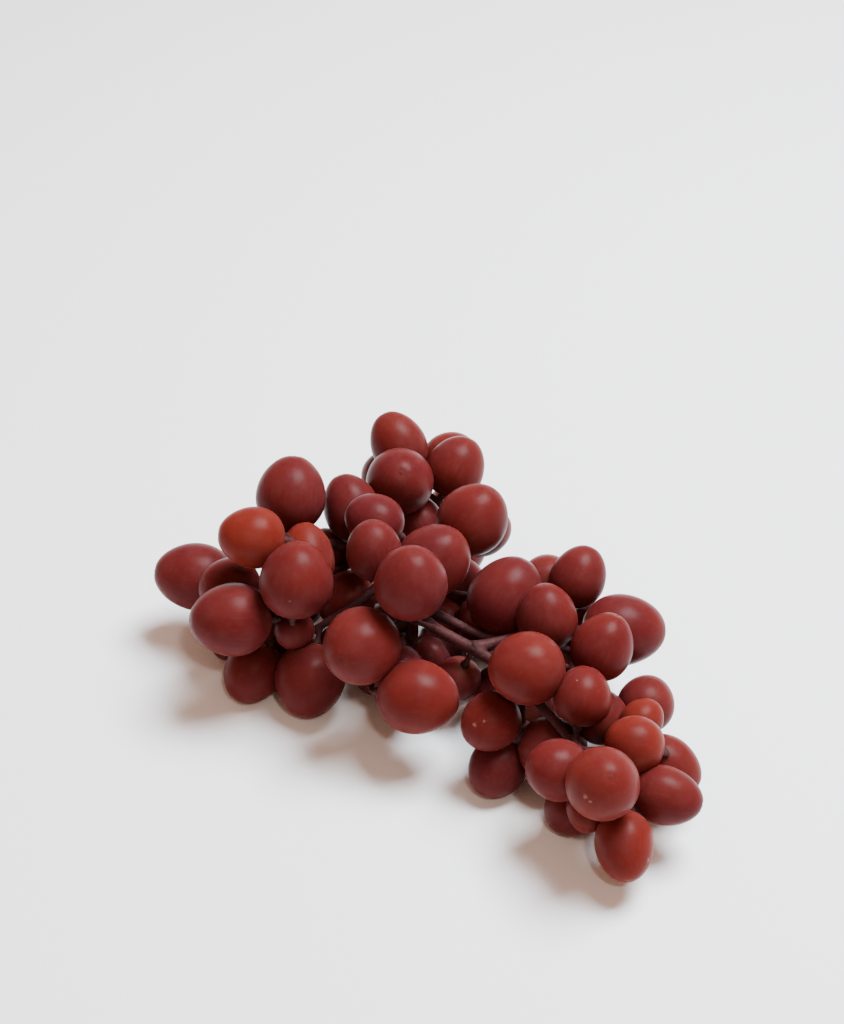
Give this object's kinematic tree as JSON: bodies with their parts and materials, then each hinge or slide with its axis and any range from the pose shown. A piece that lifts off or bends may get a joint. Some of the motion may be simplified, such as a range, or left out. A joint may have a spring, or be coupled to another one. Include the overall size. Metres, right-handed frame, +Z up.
{
  "type": "bunch of grapes",
  "caption": "Bunch of red grapes lying on its side: oval berries pressed together in clusters round a branching stem.",
  "frame": {"origin": "middle of the bunch's bounding box, at the height of the surface that it lies on", "axes": "+X along the bunch from the cut end of its stem to its tip, +Z up, +Y across the bunch"},
  "size_m": [0.1696, 0.117, 0.0612],
  "materials": {
    "stem": "dull, woody",
    "berries_crown_back": "satin, with a dusty bloom",
    "berries_crown_front": "satin, with a dusty bloom",
    "berries_crown_low": "satin, with a dusty bloom",
    "berries_left_low": "satin, with a dusty bloom",
    "berries_left_side": "satin, with a dusty bloom",
    "berries_left_top": "satin, with a dusty bloom",
    "berries_middle": "satin, with a dusty bloom",
    "berries_right_side": "satin, with a dusty bloom",
    "berries_right_top": "satin, with a dusty bloom",
    "berries_tip_front": "satin, with a dusty bloom",
    "berries_tip_left": "satin, with a dusty bloom",
    "berries_tip_right": "satin, with a dusty bloom"
  },
  "bodies": {
    "root": {"stem": "stem", "berries_crown_back": "berries_crown_back", "berries_crown_front": "berries_crown_front", "berries_crown_low": "berries_crown_low", "berries_left_low": "berries_left_low", "berries_left_side": "berries_left_side", "berries_left_top": "berries_left_top", "berries_middle": "berries_middle", "berries_right_side": "berries_right_side", "berries_right_top": "berries_right_top", "berries_tip_front": "berries_tip_front", "berries_tip_left": "berries_tip_left", "berries_tip_right": "berries_tip_right"}
  },
  "joints": []
}
